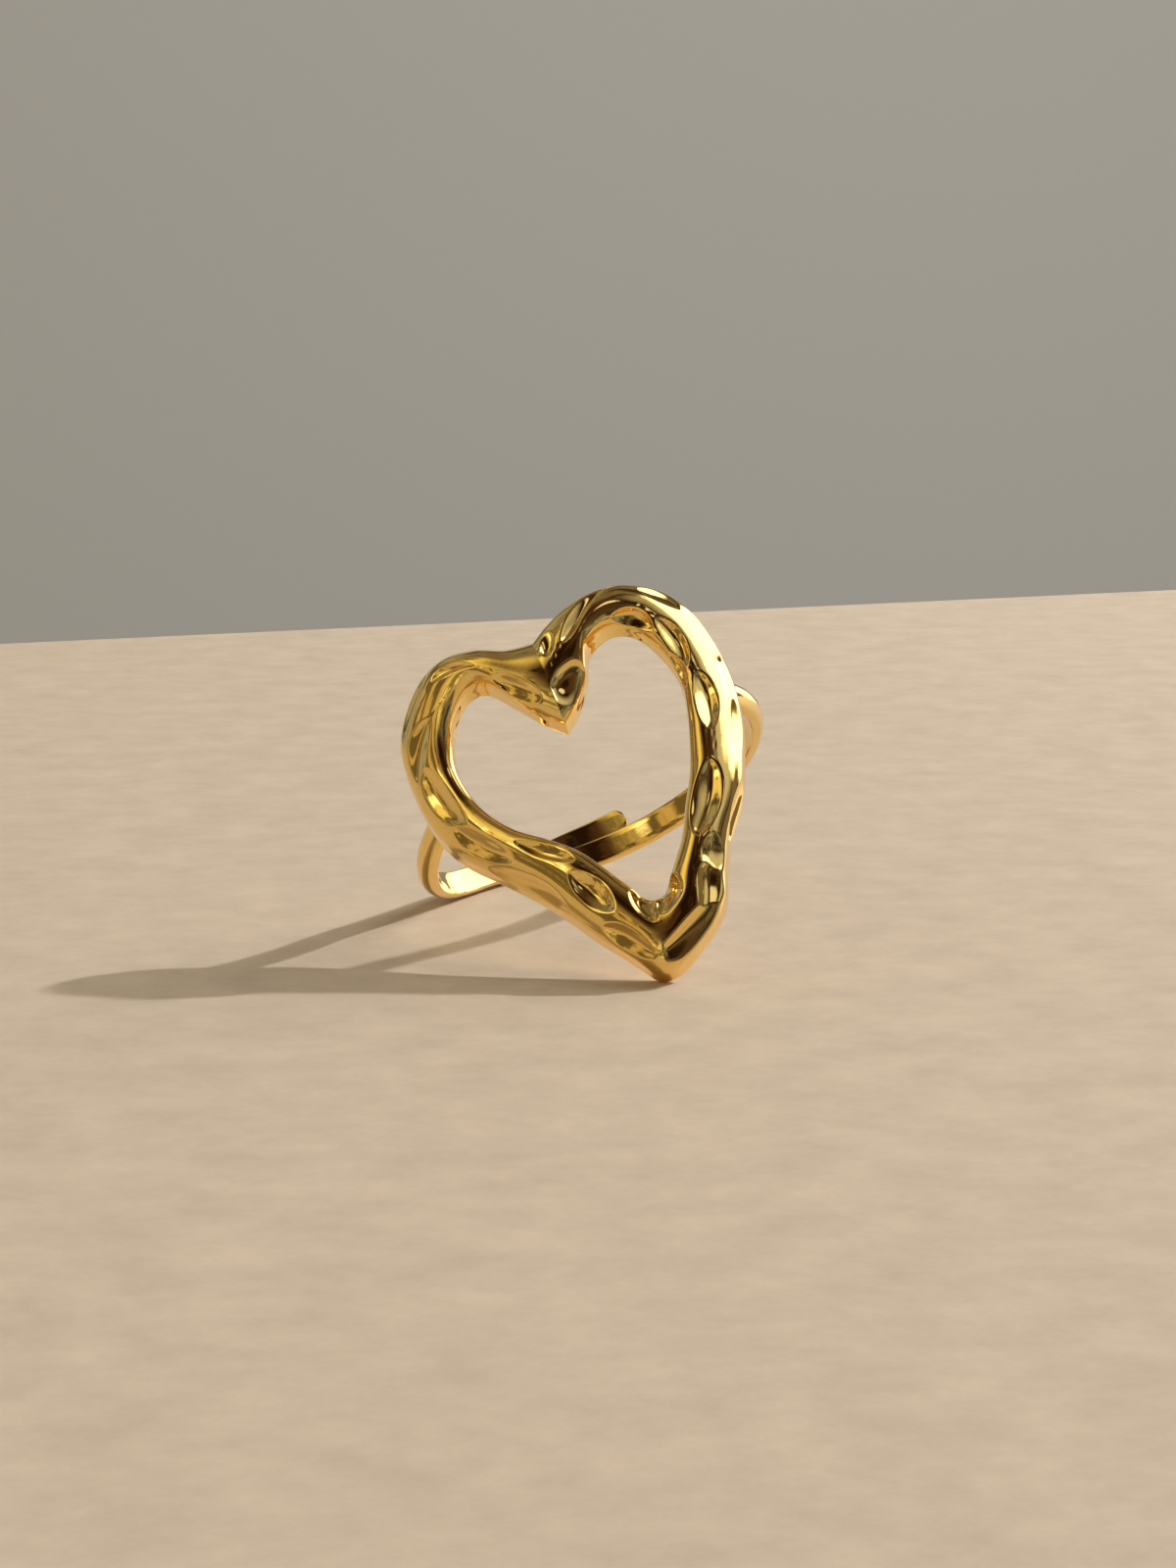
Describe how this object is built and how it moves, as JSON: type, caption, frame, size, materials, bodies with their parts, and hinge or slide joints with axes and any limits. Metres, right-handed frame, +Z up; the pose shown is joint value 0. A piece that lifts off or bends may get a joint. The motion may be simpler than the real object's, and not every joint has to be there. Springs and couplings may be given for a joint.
{
  "type": "finger ring",
  "caption": "Open heart ring: a hammered gold heart frame on an open, adjustable band whose rounded ends pass side by side.",
  "frame": {"origin": "middle of the underside of the resting ring's box, on the floor", "axes": "+Z up, +Y from the heart's face back to the band's open end, +X to the heart's own right as seen from its face, the ring lying on its side as it rests"},
  "size_m": [0.02, 0.0308, 0.0178],
  "materials": {
    "gold": "polished gold plating on cast brass"
  },
  "bodies": {
    "root": {"heart_ring": "gold"}
  },
  "joints": []
}
